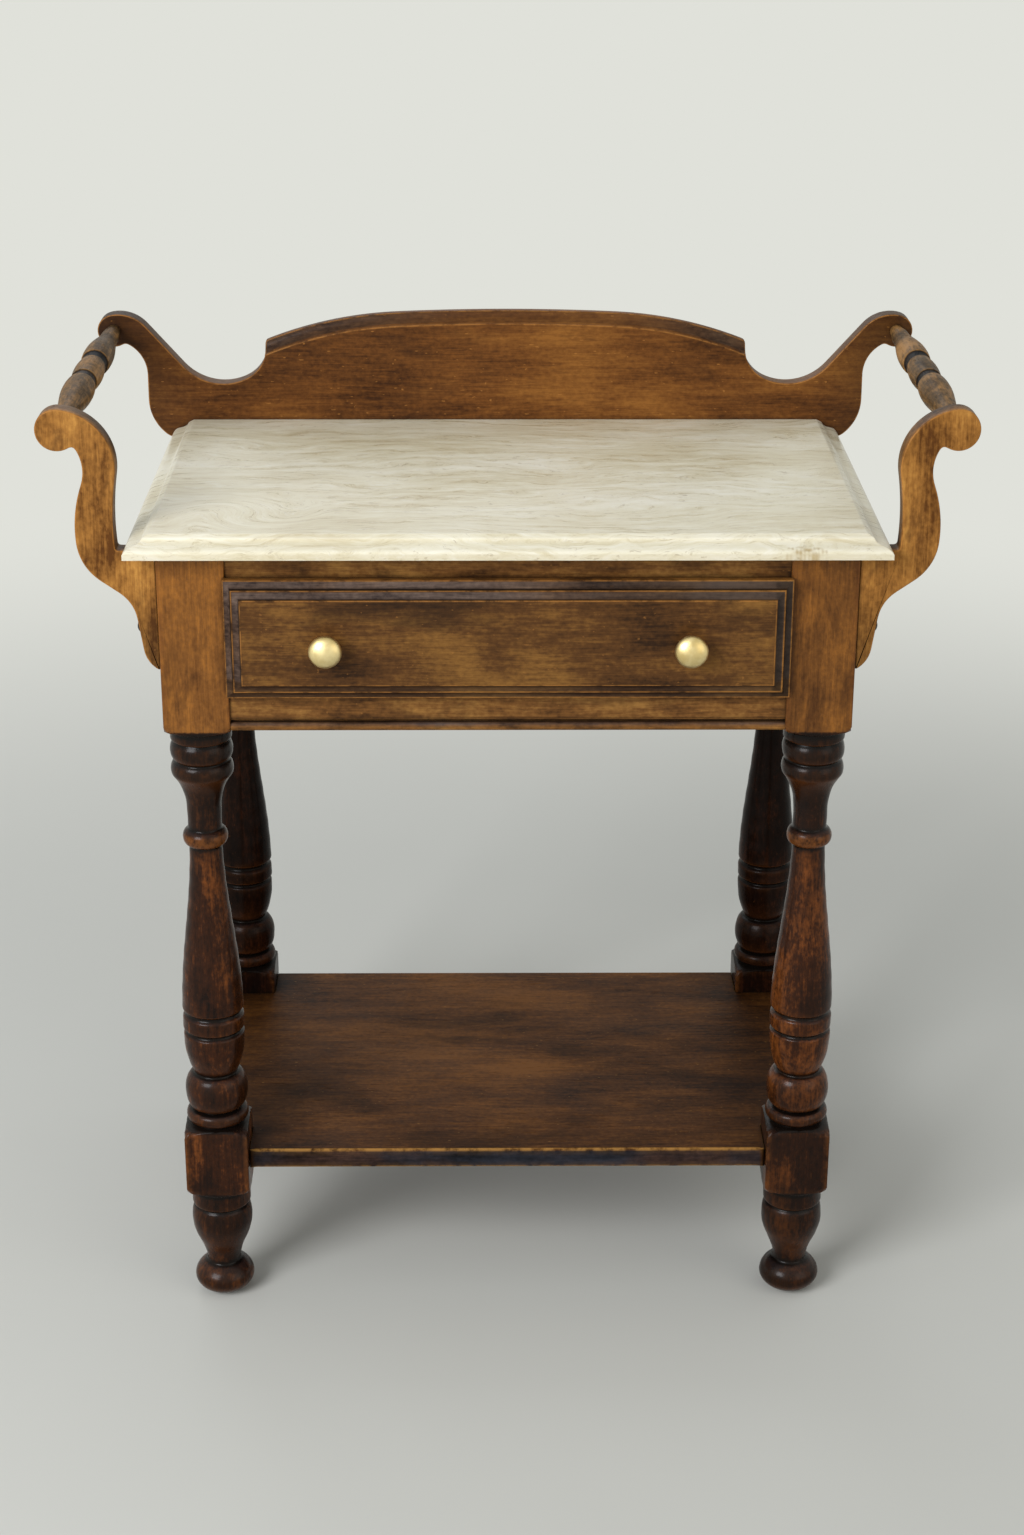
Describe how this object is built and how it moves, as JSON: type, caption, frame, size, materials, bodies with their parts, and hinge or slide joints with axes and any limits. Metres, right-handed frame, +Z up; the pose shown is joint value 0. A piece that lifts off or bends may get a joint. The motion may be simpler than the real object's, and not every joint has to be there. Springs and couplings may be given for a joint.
{
  "type": "washstand",
  "caption": "Turned wooden washstand with a marble top, a sliding drawer, a lower shelf, a shaped splashback and towel bars on scrolled arms.",
  "frame": {"origin": "on the floor under the middle of the whole piece", "axes": "+X to the right seen from the front, -Y out of the drawer front, +Z up"},
  "size_m": [0.812, 0.4484, 0.8935],
  "materials": {
    "turned_wood": "satin",
    "case_wood": "satin",
    "shelf_wood": "satin",
    "splash_wood": "satin",
    "arm_wood": "satin",
    "bar_wood": "satin",
    "front_wood": "satin",
    "inner_wood": "bare",
    "top_stone": "polished",
    "knob_brass": "satin",
    "dark_steel": "dull"
  },
  "bodies": {
    "stand": {"leg_front_left": "turned_wood", "leg_front_right": "turned_wood", "leg_back_left": "turned_wood", "leg_back_right": "turned_wood", "side_apron_left": "case_wood", "side_apron_right": "case_wood", "back_apron": "case_wood", "top_front_rail": "case_wood", "bottom_front_rail": "case_wood", "shelf": "shelf_wood", "splashback": "splash_wood", "towel_arm_left": "arm_wood", "towel_arm_right": "arm_wood", "towel_bar_left": "bar_wood", "towel_bar_right": "bar_wood", "shelf_dowels": "inner_wood", "splash_dowels": "inner_wood", "arm_dowels": "inner_wood", "drawer_runner_left": "inner_wood", "drawer_runner_right": "inner_wood", "drawer_guide_left": "inner_wood", "drawer_guide_right": "inner_wood", "drawer_kicker_left": "inner_wood", "drawer_kicker_right": "inner_wood", "stone_top": "top_stone", "arm_screws": "dark_steel", "runner_screws": "dark_steel"},
    "drawer": {"drawer_front": "front_wood", "drawer_side_left": "inner_wood", "drawer_side_right": "inner_wood", "drawer_back": "inner_wood", "drawer_bottom": "inner_wood", "knob_left": "knob_brass", "knob_right": "knob_brass", "knob_screws": "dark_steel"}
  },
  "joints": [
    {"name": "drawer_slide", "type": "slide", "parent": "stand", "child": "drawer", "axis": [0, -1, 0], "range_m": [0, 0.25]}
  ]
}
